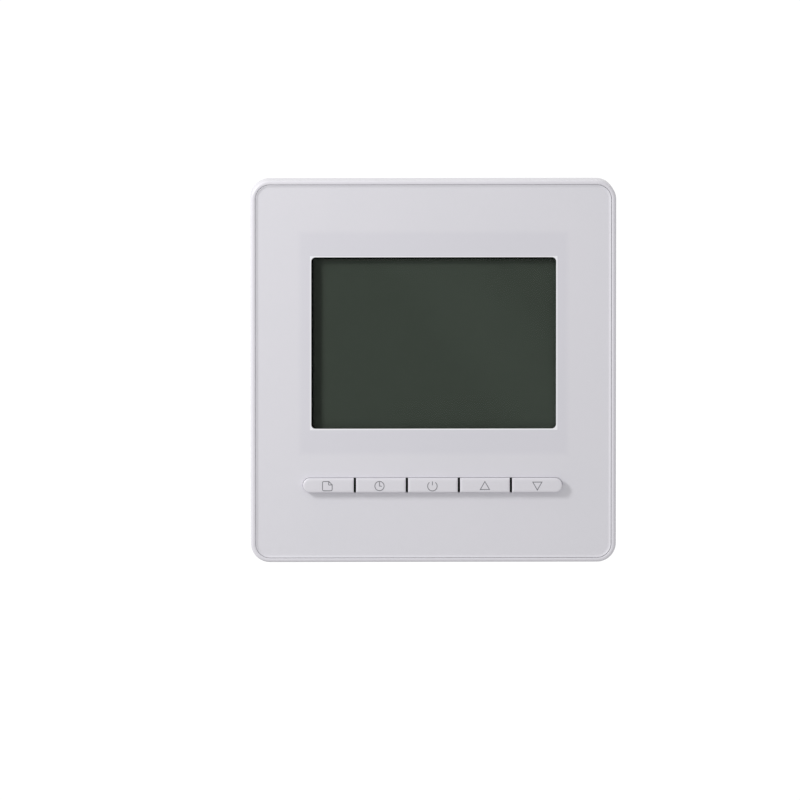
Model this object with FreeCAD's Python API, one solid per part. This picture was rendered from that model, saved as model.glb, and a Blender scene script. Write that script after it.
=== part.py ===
import FreeCAD, Part
import math
import os

# Wall thermostat with a liquid crystal display and a row of five keys.
# Millimetres. The origin is the centre of the plane that lies on the wall.
# +X is right as seen from the room, +Y goes into the wall, +Z is up.

V = FreeCAD.Vector

# ---- front case ----
CASE_W = 86.0
CASE_H = 90.0
CASE_R = 4.5
RIM_Y = -13.0
CASE_REAR_Y = -0.5
WALL_T = 2.0
RIM_T = 1.12
RIM_END_T = 1.0
RIM_ROUND = 0.6
RIM_INNER_ROUND = 0.3
PLATE_GAP = 0.05
FACE_Y = -12.75
FACE_BACK_Y = -10.75
LIP_W = 0.5
LIP_EDGE = 0.06
WINDOW_BEVEL = 0.2
AIR_SLITS = 11
AIR_SLIT_PITCH = 3.2
AIR_SLIT_W = 1.6
AIR_SLIT_Y = (-8.5, -3.5)
REAR_BEVEL_Y = -1.4
REAR_BEVEL_DROP = 2.46

# ---- display ----
WIN_W = 57.5
WIN_H = 40.4
WIN_R = 1.0
WIN_Z = 6.69
LENS_W = 63.4
LENS_H = 52.7
LENS_Y = -12.0
LENS_T = 0.8
LENS_R = 1.2
POCKET_R = 1.3
FILM_Y = -11.1
FILM_T = 0.2
FILM_X = 30.2
FILM_Z = (-14.9, 28.0)
CELL_W = 63.2
CELL_H = 52.4
CELL_T = 1.8
CELL_Y = FILM_Y + FILM_T
CELL_BACK_Y = CELL_Y + CELL_T
GUIDE_X = 30.0
GUIDE_Z = (-15.6, 29.0)
GUIDE_BACK_Y = -5.8
LAMP_Z = (-4.0, 7.0, 18.0)
LAMP_Y = -8.5
HOLDER_W = 67.8
HOLDER_H = 56.4
HOLDER_INNER_W = 63.7
HOLDER_INNER_H = 53.0
HOLDER_Y = -10.7
PEG_X = 32.85
PEG_RISE = 20.0
PEG_R = 0.9
STRIP_X = 29.0
STRIP_Z = (-19.0, -17.0)

# ---- keys ----
KEY_Z = -26.8
KEY_R = 1.7
KEY_ROW_W = 61.0
KEY_PITCH = 12.28
KEY_SLOT = 0.54
KEY_GAP = 0.06
KEY_FRONT_Y = -14.12
KEY_FLANGE_Y = -10.7
KEY_BACK_Y = -9.7
KEY_FLANGE_H = 5.2
KEY_END_FLANGE = 0.7
KEY_ROUND = 0.35
SWITCH_HALF = 3.0
SWITCH_Y = -8.7
SWITCH_WELL_Y = -7.4
PLUNGER_R = 1.72
PLUNGER_BACK_Y = -8.0
KEY_NAMES = ["page", "clock", "power", "up", "down"]

# ---- display board ----
BOARD_Y = -5.7
BOARD_T = 1.2
BOARD_BACK_Y = BOARD_Y + BOARD_T
BOARD_W = 77.2
BOARD_H = 82.0
BOSS_X = 35.5
BOSS_Z = 38.0
BOSS_R = 2.6
BOSS_BORE_R = 1.0
BOSS_BORE_Y = -10.2
PIN_Z = -20.9
PIN_COUNT = 8
PIN_PITCH = 2.54
PIN_HALF = 0.32
STRIP_HALF = 1.27
HEADER_BACK_Y = -2.3
SENSOR_Y = -8.4
SENSOR_Z = -38.6
CHIP_X = 9.0
CHIP_Z = 8.0
CHIP_HALF = 5.0
CHIP_LEADS = 11
CHIP_LEAD_PITCH = 0.8
CHIP_LEAD_REACH = 6.1
BATTERY_X = -11.0
BATTERY_R = 6.25
BATTERY_BACK_Y = -2.5
SCREW_SLOT_HALF = 0.25

# ---- mounting plate and wall screw slots ----
PLATE_W = 81.0
PLATE_H = 85.0
PLATE_Y = -2.0
SLOT_X = 30.0
SLOT_R = 2.25
SLOT_LEN = 6.5
HOOK_X = 22.0
HOOK_Y = -1.05
HOOK_Z = 42.35
HOOK_R = 0.6
HOOK_HALF_W = 5.0
HOOK_NECK_HALF = 0.45
KEEPER_HALF_W = 6.5
KEEPER_Y = -3.0
KEEPER_Z = 38.0
SNAP_X = 26.0
SNAP_HALF_W = 3.5
SNAP_WINDOW_HALF_W = 4.2
SNAP_WINDOW_Y = (-7.3, -5.2)

# ---- box that goes into the wall ----
BOX_HALF = 25.0
BOX_WALL = 2.0
BOX_REAR_Y = 28.0
FLANGE_Y = -3.2
FLANGE_HALF_W = 26.4
FLANGE_HALF_H = 29.0
BOX_SCREW_X = 15.0
BOX_SCREW_Z = 27.1
POST_XZ = 19.8
SUPPLY_Y = 6.0
SUPPLY_BACK_Y = 7.6
SUPPLY_W = 45.2
POST_R = 2.4
BOX_SLITS = 7
BOX_SLIT_PITCH = 4.5
BOX_SLIT_R = 0.8
BOX_SLIT_Z = (-6.0, 14.0)
TERM_NOTCH_HALF_W = 21.4
CORE_X = (-17.0, 1.0)
CORE_Y = (9.6, 23.6)
CORE_Z = (-1.0, 15.0)
COIL_X = (-13.8, -2.2)
COIL_Y = (12.6, 20.6)
COIL_Z = (-4.0, 18.0)
COIL_R = 1.8
LEG_X = (-10.3, -5.7)
CAN_X = (-18.6, -11.4)
CAN_Z = -8.6
CAN_R = 3.15
CAN_BACK_Y = 19.6
VARISTOR_X = 11.5
FUSE_X = 19.2
FUSE_R = 2.8

# ---- terminals ----
POLES = 6
POLE_PITCH = 7.0
TERM_Z = -19.0
TERM_HALF_W = 21.2
TERM_REAR_Y = 25.6
TERM_LOW_Z = -24.6
TERM_TOP_Z = -13.4
CHAMBER_HALF_W = 2.75
CHAMBER_HALF_H = 2.3
CHAMBER_Y = (10.2, 20.9)
WIRE_HOLE_HALF_W = 1.8
WIRE_HOLE_Y = (11.5, 14.9)
BAR_HALF_W = 1.4
BAR_Y = (15.0, 15.8)
BAR_PIN_Z = -15.1
CAGE_HALF_W = 2.55
CAGE_HALF_H = 2.1
CAGE_Y = (10.5, 17.5)
SHANK_R = 1.4
SHANK_Y = 15.9
HEAD_R = 2.0
HEAD_Y = (21.0, 22.8)


def box(x0, x1, y0, y1, z0, z1):
    """A plain block between two corners."""
    return Part.makeBox(x1 - x0, y1 - y0, z1 - z0, V(x0, y0, z0))


def rod(x, z, r, y0, y1):
    """A cylinder along Y."""
    return Part.makeCylinder(r, y1 - y0, V(x, y0, z), V(0, 1, 0))


def slab(x0, x1, z0, z1, r, y0, y1):
    """A block whose four corners, seen from the front, are rounded."""
    body = box(x0, x1, y0, y1, z0, z1)
    deep_edges = []
    for edge in body.Edges:
        a = edge.Vertexes[0].Point
        b = edge.Vertexes[-1].Point
        if abs(a.y - b.y) > 1e-6:
            deep_edges.append(edge)
    return body.makeFillet(r, deep_edges)


def centred_slab(w, h, zc, r, y0, y1):
    """A rounded block centred left to right, zc high."""
    return slab(-w / 2, w / 2, zc - h / 2, zc + h / 2, r, y0, y1)


def stadium(x0, x1, zc, r, y0, y1):
    """A bar with round ends, seen from the front."""
    middle = box(x0 + r, x1 - r, y0, y1, zc - r, zc + r)
    return middle.fuse(rod(x0 + r, zc, r, y0, y1)).fuse(rod(x1 - r, zc, r, y0, y1)).removeSplitter()


def rounded_wire(x0, x1, z0, z1, r, y):
    """A rounded rectangle as a closed wire in a plane of constant Y."""
    k = r * (1.0 - math.sqrt(0.5))
    edges = [
        Part.makeLine(V(x0 + r, y, z0), V(x1 - r, y, z0)),
        Part.Arc(V(x1 - r, y, z0), V(x1 - k, y, z0 + k), V(x1, y, z0 + r)).toShape(),
        Part.makeLine(V(x1, y, z0 + r), V(x1, y, z1 - r)),
        Part.Arc(V(x1, y, z1 - r), V(x1 - k, y, z1 - k), V(x1 - r, y, z1)).toShape(),
        Part.makeLine(V(x1 - r, y, z1), V(x0 + r, y, z1)),
        Part.Arc(V(x0 + r, y, z1), V(x0 + k, y, z1 - k), V(x0, y, z1 - r)).toShape(),
        Part.makeLine(V(x0, y, z1 - r), V(x0, y, z0 + r)),
        Part.Arc(V(x0, y, z0 + r), V(x0 + k, y, z0 + k), V(x0 + r, y, z0)).toShape(),
    ]
    return Part.Wire(edges)


def tapered(w0, h0, r0, y0, w1, h1, r1, y1, zc):
    """A tool whose rounded outline changes in size from y0 to y1."""
    first = rounded_wire(-w0 / 2, w0 / 2, zc - h0 / 2, zc + h0 / 2, r0, y0)
    last = rounded_wire(-w1 / 2, w1 / 2, zc - h1 / 2, zc + h1 / 2, r1, y1)
    return Part.makeLoft([first, last], True, True)


def edges_at(shape, y, tol=1e-4):
    """The edges that lie in one plane of constant Y."""
    found = []
    for edge in shape.Edges:
        bb = edge.BoundBox
        if abs(bb.YMin - y) < tol and abs(bb.YMax - y) < tol:
            found.append(edge)
    return found


def group(shapes):
    """Loose solids that share one node."""
    return Part.makeCompound(shapes)


def corners(x, z):
    """The four places that lie x to either side and z above or below the middle."""
    return [(sx * x, sz * z) for sx in (-1, 1) for sz in (-1, 1)]


def pin_x(index):
    """Centre of one link pin."""
    return (index - (PIN_COUNT - 1) / 2.0) * PIN_PITCH


def cross_recess(x, z, reach, y0, y1):
    """The cutter for a screw head's cross."""
    level = box(x - reach, x + reach, y0, y1, z - SCREW_SLOT_HALF, z + SCREW_SLOT_HALF)
    return level.fuse(box(x - SCREW_SLOT_HALF, x + SCREW_SLOT_HALF, y0, y1, z - reach, z + reach))


def round_long_edges(body, radius):
    """Rounds the edges that run into the wall."""
    long_edges = []
    for edge in body.Edges:
        if edge.BoundBox.YLength > 5:
            long_edges.append(edge)
    return body.makeFillet(radius, long_edges)


def key_x(index):
    """Centre of one key's switch."""
    return (index - 2) * KEY_PITCH


def key_bounds(index):
    """Left and right side of one key cap."""
    mid = key_x(index)
    x0 = mid - KEY_PITCH / 2 + KEY_SLOT / 2
    x1 = mid + KEY_PITCH / 2 - KEY_SLOT / 2
    if index == 0:
        x0 = -KEY_ROW_W / 2
    if index == len(KEY_NAMES) - 1:
        x1 = KEY_ROW_W / 2
    return x0, x1


def pole_x(index):
    """Centre of one terminal."""
    return (index - (POLES - 1) / 2.0) * POLE_PITCH


def front_frame():
    """Four side walls with a narrow rounded rim, top hooks, air slits and snap windows."""
    hw = CASE_W / 2
    hh = CASE_H / 2
    body = slab(-hw, hw, -hh, hh, CASE_R, RIM_Y, CASE_REAR_Y)
    body = body.makeFillet(RIM_ROUND, edges_at(body, RIM_Y))
    iw = CASE_W - 2 * WALL_T
    ih = CASE_H - 2 * WALL_T
    body = body.cut(centred_slab(iw, ih, 0, CASE_R - WALL_T + 0.1, RIM_Y - 1, 0.5))
    rw = CASE_W - 2 * RIM_T
    rh = CASE_H - 2 * RIM_END_T
    body = body.cut(centred_slab(rw, rh, 0, CASE_R - RIM_T, RIM_Y - 1, FACE_BACK_Y))
    inner_edges = []
    for edge in edges_at(body, RIM_Y):
        if edge.BoundBox.XMax < rw / 2 + 0.01 and edge.BoundBox.XMin > -rw / 2 - 0.01:
            if edge.BoundBox.ZMax < rh / 2 + 0.01 and edge.BoundBox.ZMin > -rh / 2 - 0.01:
                inner_edges.append(edge)
    body = body.makeFillet(RIM_INNER_ROUND, inner_edges)
    wedge = Part.Face(Part.makePolygon([
        V(-hw - 1, REAR_BEVEL_Y, hh + 0.01),
        V(-hw - 1, 0.0, hh + 0.01),
        V(-hw - 1, 0.0, hh - REAR_BEVEL_DROP),
        V(-hw - 1, REAR_BEVEL_Y, hh + 0.01),
    ])).extrude(V(CASE_W + 2, 0, 0))
    body = body.cut(wedge)
    below = -hh - 1
    inside = -hh + WALL_T + 0.5
    for k in range(AIR_SLITS):
        x = (k - AIR_SLITS // 2) * AIR_SLIT_PITCH
        body = body.cut(box(x - AIR_SLIT_W / 2, x + AIR_SLIT_W / 2, *AIR_SLIT_Y, below, inside))
    for side in (-1, 1):
        x = side * SNAP_X
        body = body.cut(box(x - SNAP_WINDOW_HALF_W, x + SNAP_WINDOW_HALF_W, *SNAP_WINDOW_Y, below, inside))
    for side in (-1, 1):
        x0 = side * HOOK_X - HOOK_HALF_W
        x1 = side * HOOK_X + HOOK_HALF_W
        nose = Part.makeCylinder(HOOK_R, x1 - x0, V(x0, HOOK_Y, HOOK_Z), V(1, 0, 0))
        neck = box(x0, x1, HOOK_Y - HOOK_NECK_HALF, HOOK_Y + HOOK_NECK_HALF, HOOK_Z, hh - WALL_T + 0.2)
        body = body.fuse(nose.fuse(neck))
    return body.removeSplitter()


def face_plate():
    """Flat front plate with a raised sloping edge, a window with a shallow pocket behind it for
    the clear sheet, and the key opening."""
    w = CASE_W - 2 * RIM_T - 2 * PLATE_GAP
    h = CASE_H - 2 * RIM_END_T - 2 * PLATE_GAP
    r = CASE_R - RIM_T - PLATE_GAP
    body = centred_slab(w, h, 0, r, RIM_Y, FACE_BACK_Y)
    a = LIP_EDGE
    b = a + LIP_W
    outside = tapered(w - 2 * a, h - 2 * a, r - a, RIM_Y, w - 2 * b, h - 2 * b, r - b, FACE_Y, 0)
    body = body.cut(outside)
    body = body.cut(centred_slab(WIN_W, WIN_H, WIN_Z, WIN_R, RIM_Y, FACE_BACK_Y + 1))
    body = body.cut(centred_slab(LENS_W + 0.2, LENS_H + 0.2, WIN_Z, POCKET_R, LENS_Y, FACE_BACK_Y + 1))
    e = WINDOW_BEVEL
    bevel = tapered(WIN_W + 2 * e, WIN_H + 2 * e, WIN_R + e, FACE_Y, WIN_W, WIN_H, WIN_R, FACE_Y + e, WIN_Z)
    body = body.cut(bevel)
    half = KEY_ROW_W / 2 + KEY_GAP
    body = body.cut(stadium(-half, half, KEY_Z, KEY_R + KEY_GAP, RIM_Y, FACE_BACK_Y + 1))
    for x, z in corners(BOSS_X, BOSS_Z):
        body = body.fuse(rod(x, z, BOSS_R, FACE_BACK_Y - 0.5, BOARD_Y))
        body = body.cut(rod(x, z, BOSS_BORE_R, BOSS_BORE_Y, BOARD_Y + 0.1))
    return body.removeSplitter()


def window_lens():
    """Clear sheet glued into the pocket behind the window."""
    return centred_slab(LENS_W, LENS_H, WIN_Z, LENS_R, LENS_Y, LENS_Y + LENS_T)


def lcd_holder():
    """Open plastic surround that holds the glass and the light guide on the board."""
    body = centred_slab(HOLDER_W, HOLDER_H, WIN_Z, 2.0, HOLDER_Y, BOARD_Y)
    body = body.cut(centred_slab(HOLDER_INNER_W, HOLDER_INNER_H, WIN_Z, POCKET_R, HOLDER_Y - 1, BOARD_Y + 1))
    for x, z in corners(PEG_X, PEG_RISE):
        body = body.fuse(rod(x, WIN_Z + z, PEG_R, BOARD_Y - 1.0, BOARD_BACK_Y - 0.1))
    return body.removeSplitter()


def polariser(y0):
    """Thin film laid over the glass."""
    return slab(-FILM_X, FILM_X, *FILM_Z, 0.5, y0, y0 + FILM_T)


def light_guide():
    """Acrylic sheet behind the glass, lit from one side."""
    return slab(-GUIDE_X, GUIDE_X, *GUIDE_Z, 0.5, CELL_BACK_Y + FILM_T + 0.05, GUIDE_BACK_Y)


def backlight_leds():
    """Three side-firing lamps on the board beside the light guide."""
    lamps = []
    for z in LAMP_Z:
        lamps.append(box(GUIDE_X + 0.2, GUIDE_X + 1.4, LAMP_Y, BOARD_Y, z - 1.5, z + 1.5))
    return group(lamps)


def display_board():
    """Circuit board with its screw, peg and header holes."""
    hw = BOARD_W / 2
    hh = BOARD_H / 2
    body = slab(-hw, hw, -hh, hh, 2.5, BOARD_Y, BOARD_BACK_Y)
    for x, z in corners(BOSS_X, BOSS_Z):
        body = body.cut(rod(x, z, 1.2, BOARD_Y - 1, 0))
    for x, z in corners(PEG_X, PEG_RISE):
        body = body.cut(rod(x, WIN_Z + z, PEG_R + 0.08, BOARD_Y - 1, 0))
    for k in range(PIN_COUNT):
        body = body.cut(rod(pin_x(k), PIN_Z, 0.5, BOARD_Y - 1, 0))
    return body


def board_screws():
    """Four self-tapping screws that hold the board to the face plate's posts."""
    screws = []
    for x, z in corners(BOSS_X, BOSS_Z):
        screw = rod(x, z, BOSS_BORE_R - 0.04, -9.6, BOARD_BACK_Y)
        screw = screw.fuse(rod(x, z, 1.9, BOARD_BACK_Y, BOARD_BACK_Y + 1.2))
        screws.append(screw.cut(cross_recess(x, z, 1.1, BOARD_BACK_Y + 0.6, -2)))
    return group(screws)


def link_header():
    """Plastic strip that carries the link pins."""
    half = PIN_COUNT * PIN_PITCH / 2
    body = box(-half, half, BOARD_BACK_Y, HEADER_BACK_Y, PIN_Z - STRIP_HALF, PIN_Z + STRIP_HALF)
    hole = PIN_HALF + 0.02
    for k in range(PIN_COUNT):
        x = pin_x(k)
        body = body.cut(box(x - hole, x + hole, -5, -2, PIN_Z - hole, PIN_Z + hole))
    return body


def link_pins():
    """Square pins that plug through the plate into the supply board's socket."""
    pins = []
    for k in range(PIN_COUNT):
        x = pin_x(k)
        pins.append(box(x - PIN_HALF, x + PIN_HALF, BOARD_Y, 4.0, PIN_Z - PIN_HALF, PIN_Z + PIN_HALF))
    return group(pins)


def switch_housings():
    """Five push switches under the keys."""
    parts = []
    s = SWITCH_HALF
    for k in range(len(KEY_NAMES)):
        x = key_x(k)
        body = box(x - s, x + s, SWITCH_Y, BOARD_Y, KEY_Z - s, KEY_Z + s)
        parts.append(body.cut(rod(x, KEY_Z, PLUNGER_R + 0.08, SWITCH_Y - 1, SWITCH_WELL_Y)))
    return group(parts)


def plunger(index):
    """Round button of one push switch."""
    return rod(key_x(index), KEY_Z, PLUNGER_R, KEY_BACK_Y, PLUNGER_BACK_Y)


def key(index):
    """One key: a cap that stands out of the face and a wide foot behind it."""
    x0, x1 = key_bounds(index)
    y0 = KEY_FRONT_Y
    y1 = KEY_BACK_Y
    cap = stadium(-KEY_ROW_W / 2, KEY_ROW_W / 2, KEY_Z, KEY_R, y0, y1)
    cap = cap.common(box(x0, x1, y0 - 1, y1 + 1, KEY_Z - 5, KEY_Z + 5))
    cap = cap.makeFillet(KEY_ROUND, edges_at(cap, y0))
    fx0 = x0
    fx1 = x1
    if index == 0:
        fx0 = x0 - KEY_END_FLANGE
    if index == len(KEY_NAMES) - 1:
        fx1 = x1 + KEY_END_FLANGE
    foot = box(fx0, fx1, KEY_FLANGE_Y, y1, KEY_Z - KEY_FLANGE_H / 2, KEY_Z + KEY_FLANGE_H / 2)
    return cap.fuse(foot).removeSplitter()


def air_sensor():
    """Bead thermistor on two leads behind the air slits."""
    body = Part.makeSphere(1.1, V(0, SENSOR_Y, SENSOR_Z))
    for x in (-0.6, 0.6):
        body = body.fuse(rod(x, SENSOR_Z, 0.25, SENSOR_Y, BOARD_Y))
    return body


def microcontroller():
    """Flat square chip with leads on four sides."""
    h = CHIP_HALF
    body = slab(CHIP_X - h, CHIP_X + h, CHIP_Z - h, CHIP_Z + h, 0.3, BOARD_BACK_Y + 0.1, BOARD_BACK_Y + 1.4)
    y0 = BOARD_BACK_Y
    y1 = BOARD_BACK_Y + 0.3
    near = h - 0.1
    leads = []
    for k in range(CHIP_LEADS):
        t = (k - CHIP_LEADS // 2) * CHIP_LEAD_PITCH
        x = CHIP_X + t
        z = CHIP_Z + t
        leads.append(box(CHIP_X - CHIP_LEAD_REACH, CHIP_X - near, y0, y1, z - 0.15, z + 0.15))
        leads.append(box(CHIP_X + near, CHIP_X + CHIP_LEAD_REACH, y0, y1, z - 0.15, z + 0.15))
        leads.append(box(x - 0.15, x + 0.15, y0, y1, CHIP_Z - CHIP_LEAD_REACH, CHIP_Z - near))
        leads.append(box(x - 0.15, x + 0.15, y0, y1, CHIP_Z + near, CHIP_Z + CHIP_LEAD_REACH))
    return body.multiFuse(leads)


def clock_battery():
    """Small coin cell that keeps the clock running."""
    body = rod(BATTERY_X, CHIP_Z, BATTERY_R, BOARD_BACK_Y, BATTERY_BACK_Y)
    return body.makeFillet(0.3, edges_at(body, BATTERY_BACK_Y))


def clock_crystal():
    """Can crystal lying on the board."""
    return Part.makeCylinder(1.1, 6.0, V(-2.5, BOARD_BACK_Y + 1.1, -6), V(1, 0, 0))


def chip_parts():
    """Small surface parts on the back of the display board."""
    parts = []
    for k in range(6):
        x = -17.0 + 6.2 * k
        parts.append(box(x, x + 2.0, BOARD_BACK_Y, BOARD_BACK_Y + 0.6, -12.6, -11.4))
    for k in range(4):
        x = -8.0 + 5.0 * k
        parts.append(box(x, x + 1.2, BOARD_BACK_Y, BOARD_BACK_Y + 0.6, 16.5, 18.5))
    return group(parts)


def mounting_plate():
    """Flat plate that is screwed to the wall, with keepers for the top hooks."""
    body = centred_slab(PLATE_W, PLATE_H, 0, 2.8, PLATE_Y, 0)
    for side in (-1, 1):
        x = side * HOOK_X
        body = body.fuse(box(x - KEEPER_HALF_W, x + KEEPER_HALF_W, KEEPER_Y, 0, KEEPER_Z, PLATE_H / 2))
    inner = 2 * BOX_HALF + 0.6
    body = body.cut(centred_slab(inner, inner, 0, 3.3, -4, 1))
    for side in (-1, 1):
        x = side * SLOT_X
        half = SLOT_LEN / 2
        body = body.cut(stadium(x - half, x + half, 0, SLOT_R, -4, 1))
        x = side * HOOK_X
        half = HOOK_HALF_W + 0.3
        body = body.cut(box(x - half, x + half, -2.1, 1, 41.25, PLATE_H / 2 + 1))
    for x, z in corners(BOX_SCREW_X, BOX_SCREW_Z):
        body = body.cut(rod(x, z, 1.05, -4, 1))
    return body.removeSplitter()


def snap_fingers():
    """Two springy fingers at the plate's lower edge that catch the front's bottom wall."""
    fingers = []
    for side in (-1, 1):
        x = side * SNAP_X
        outline = [
            (-2.0, -39.5), (-3.2, -39.5), (-3.6, -41.4), (-7.3, -41.4), (-7.0, -42.3),
            (-6.2, -43.8), (-5.6, -43.8), (-5.6, -42.3), (-2.0, -42.3), (-2.0, -39.5),
        ]
        points = []
        for y, z in outline:
            points.append(V(x - SNAP_HALF_W, y, z))
        fingers.append(Part.Face(Part.makePolygon(points)).extrude(V(2 * SNAP_HALF_W, 0, 0)))
    return group(fingers)


def rear_box():
    """Deep box behind the plate, open in front, with a stepped corner for the terminals."""
    body = centred_slab(2 * BOX_HALF, 2 * BOX_HALF, 0, 3.0, FLANGE_Y + 0.4, BOX_REAR_Y)
    body = body.makeFillet(1.0, edges_at(body, BOX_REAR_Y))
    body = body.fuse(centred_slab(2 * FLANGE_HALF_W, 2 * FLANGE_HALF_H, 0, 2.0, FLANGE_Y, PLATE_Y))
    inner = BOX_HALF - BOX_WALL
    cavity = centred_slab(2 * inner, 2 * inner, 0, 1.2, FLANGE_Y - 1, BOX_REAR_Y - BOX_WALL)
    body = body.cut(cavity)
    for side in (-1, 1):
        body = body.fuse(rod(side * POST_XZ, POST_XZ, POST_R, SUPPLY_BACK_Y, BOX_REAR_Y - BOX_WALL))
        body = body.cut(rod(side * POST_XZ, POST_XZ, 0.9, SUPPLY_BACK_Y - 1, 14))
    notch = TERM_NOTCH_HALF_W
    body = body.cut(box(-notch, notch, SUPPLY_BACK_Y - 0.2, BOX_REAR_Y + 2, -30, TERM_TOP_Z + 0.2))
    y0 = BOX_REAR_Y - BOX_WALL - 1
    for k in range(BOX_SLITS):
        x = (k - BOX_SLITS // 2) * BOX_SLIT_PITCH
        body = body.cut(stadium_upright(x, BOX_SLIT_R, *BOX_SLIT_Z, y0, BOX_REAR_Y + 1))
    for x, z in corners(BOX_SCREW_X, BOX_SCREW_Z):
        body = body.cut(rod(x, z, 1.15, FLANGE_Y - 1, PLATE_Y + 0.5))
    return body.removeSplitter()


def stadium_upright(x, r, z0, z1, y0, y1):
    """An upright slot with round ends."""
    body = box(x - r, x + r, y0, y1, z0 + r, z1 - r)
    return body.fuse(rod(x, z0 + r, r, y0, y1)).fuse(rod(x, z1 - r, r, y0, y1)).removeSplitter()


def box_screws():
    """Four small screws that hold the box's flange to the plate."""
    screws = []
    for x, z in corners(BOX_SCREW_X, BOX_SCREW_Z):
        screw = rod(x, z, 1.0, FLANGE_Y, -0.3).fuse(rod(x, z, 1.7, FLANGE_Y - 0.8, FLANGE_Y))
        screws.append(screw.cut(cross_recess(x, z, 1.0, -5, FLANGE_Y - 0.35)))
    return group(screws)


def supply_board():
    """Power supply board across the box."""
    body = centred_slab(SUPPLY_W, SUPPLY_W, 0, 1.0, SUPPLY_Y, SUPPLY_BACK_Y)
    y0 = SUPPLY_Y - 1
    y1 = SUPPLY_BACK_Y + 1.4
    for side in (-1, 1):
        body = body.cut(rod(side * POST_XZ, POST_XZ, 1.15, y0, y1))
    for k in range(POLES):
        body = body.cut(rod(pole_x(k), BAR_PIN_Z, 0.6, y0, y1))
    return body


def supply_board_screws():
    """Two screws that hold the supply board to the box's posts."""
    screws = []
    for side in (-1, 1):
        x = side * POST_XZ
        screw = rod(x, POST_XZ, 0.86, SUPPLY_Y, 12.5).fuse(rod(x, POST_XZ, 1.8, SUPPLY_Y - 1.2, SUPPLY_Y))
        screws.append(screw.cut(cross_recess(x, POST_XZ, 1.0, 4, SUPPLY_Y - 0.6)))
    return group(screws)


def link_socket():
    """Socket strip in front of the supply board that takes the link pins."""
    half = PIN_COUNT * PIN_PITCH / 2 + 0.4
    body = box(-half, half, -1.0, SUPPLY_Y, PIN_Z - STRIP_HALF, PIN_Z + STRIP_HALF)
    for k in range(PIN_COUNT):
        x = pin_x(k)
        body = body.cut(box(x - 0.7, x + 0.7, -2, 5.0, PIN_Z - 0.75, PIN_Z + 0.7))
    return body


def transformer_base():
    """Plastic foot of the transformer."""
    return box(-16.5, 0.5, SUPPLY_BACK_Y, 9.6, -3.0, 17.0)


def transformer_core():
    """Laminated iron core with two windows."""
    body = box(*CORE_X, *CORE_Y, *CORE_Z)
    y0 = COIL_Y[0] - 0.2
    y1 = COIL_Y[1] + 0.2
    z0 = CORE_Z[0] - 1
    z1 = CORE_Z[1] + 1
    body = body.cut(box(COIL_X[0] - 0.2, LEG_X[0] + 0.1, y0, y1, z0, z1))
    return body.cut(box(LEG_X[1] - 0.1, COIL_X[1] + 0.2, y0, y1, z0, z1))


def transformer_winding():
    """Wrapped coil round the core's middle leg."""
    body = round_long_edges(box(*COIL_X, *COIL_Y, *COIL_Z), COIL_R)
    return body.cut(box(*LEG_X, 12, 21, CORE_Z[0] - 0.1, CORE_Z[1] + 0.1))


def relay():
    """Sealed relay that switches the load."""
    return round_long_edges(box(3.6, 19.0, SUPPLY_BACK_Y, 22.8, -4.0, 15.0), 0.8)


def smoothing_capacitors():
    """Two upright can capacitors."""
    cans = []
    for x in CAN_X:
        can = rod(x, CAN_Z, CAN_R, SUPPLY_BACK_Y, CAN_BACK_Y)
        cans.append(can.makeFillet(0.4, edges_at(can, CAN_BACK_Y)))
    return group(cans)


def suppression_capacitor():
    """Box-shaped film capacitor across the mains."""
    body = box(-6.5, 5.5, SUPPLY_BACK_Y, 18.6, -11.5, -6.5)
    return body.makeFillet(0.5, edges_at(body, 18.6))


def varistor():
    """Disc that clips voltage spikes, on two leads."""
    disc = Part.makeCylinder(4.0, 3.2, V(VARISTOR_X, 13.2, CAN_Z - 1.6), V(0, 0, 1))
    disc = disc.makeFillet(0.8, disc.Edges)
    for x in (-2.0, 2.0):
        disc = disc.fuse(rod(VARISTOR_X + x, CAN_Z, 0.35, SUPPLY_BACK_Y, 12))
    return disc


def fuse_link():
    """Small round fuse standing on the board."""
    body = rod(FUSE_X, CAN_Z, FUSE_R, SUPPLY_BACK_Y, 15.6)
    return body.makeFillet(0.4, edges_at(body, 15.6))


def voltage_regulator():
    """Flat regulator chip."""
    return box(-21.5, -18.2, SUPPLY_BACK_Y, 9.3, 2.0, 8.4)


def terminal_block():
    """Moulded block with six chambers, screwdriver holes in its rear and wire holes below."""
    body = box(-TERM_HALF_W, TERM_HALF_W, SUPPLY_BACK_Y, TERM_REAR_Y, TERM_LOW_Z, TERM_TOP_Z)
    cuts = []
    for k in range(POLES):
        x = pole_x(k)
        left = x - CHAMBER_HALF_W
        right = x + CHAMBER_HALF_W
        cuts.append(box(left, right, *CHAMBER_Y, TERM_Z - CHAMBER_HALF_H, TERM_Z + CHAMBER_HALF_H))
        cuts.append(rod(x, TERM_Z, HEAD_R + 0.15, CHAMBER_Y[1] - 0.1, HEAD_Y[1] + 0.2))
        cuts.append(rod(x, TERM_Z, 1.75, HEAD_Y[1] + 0.1, TERM_REAR_Y + 1))
        left = x - WIRE_HOLE_HALF_W
        right = x + WIRE_HOLE_HALF_W
        cuts.append(box(left, right, *WIRE_HOLE_Y, TERM_LOW_Z - 1, TERM_Z - 2.2))
        left = x - BAR_HALF_W - 0.2
        right = x + BAR_HALF_W + 0.2
        cuts.append(box(left, right, BAR_Y[0] - 0.15, BAR_Y[1] + 0.15, TERM_Z + 2.2, TERM_TOP_Z + 1))
        cuts.append(box(left, right, SUPPLY_BACK_Y - 1, BAR_Y[0], -15.7, TERM_TOP_Z + 1))
    return body.cut(cuts)


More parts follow.
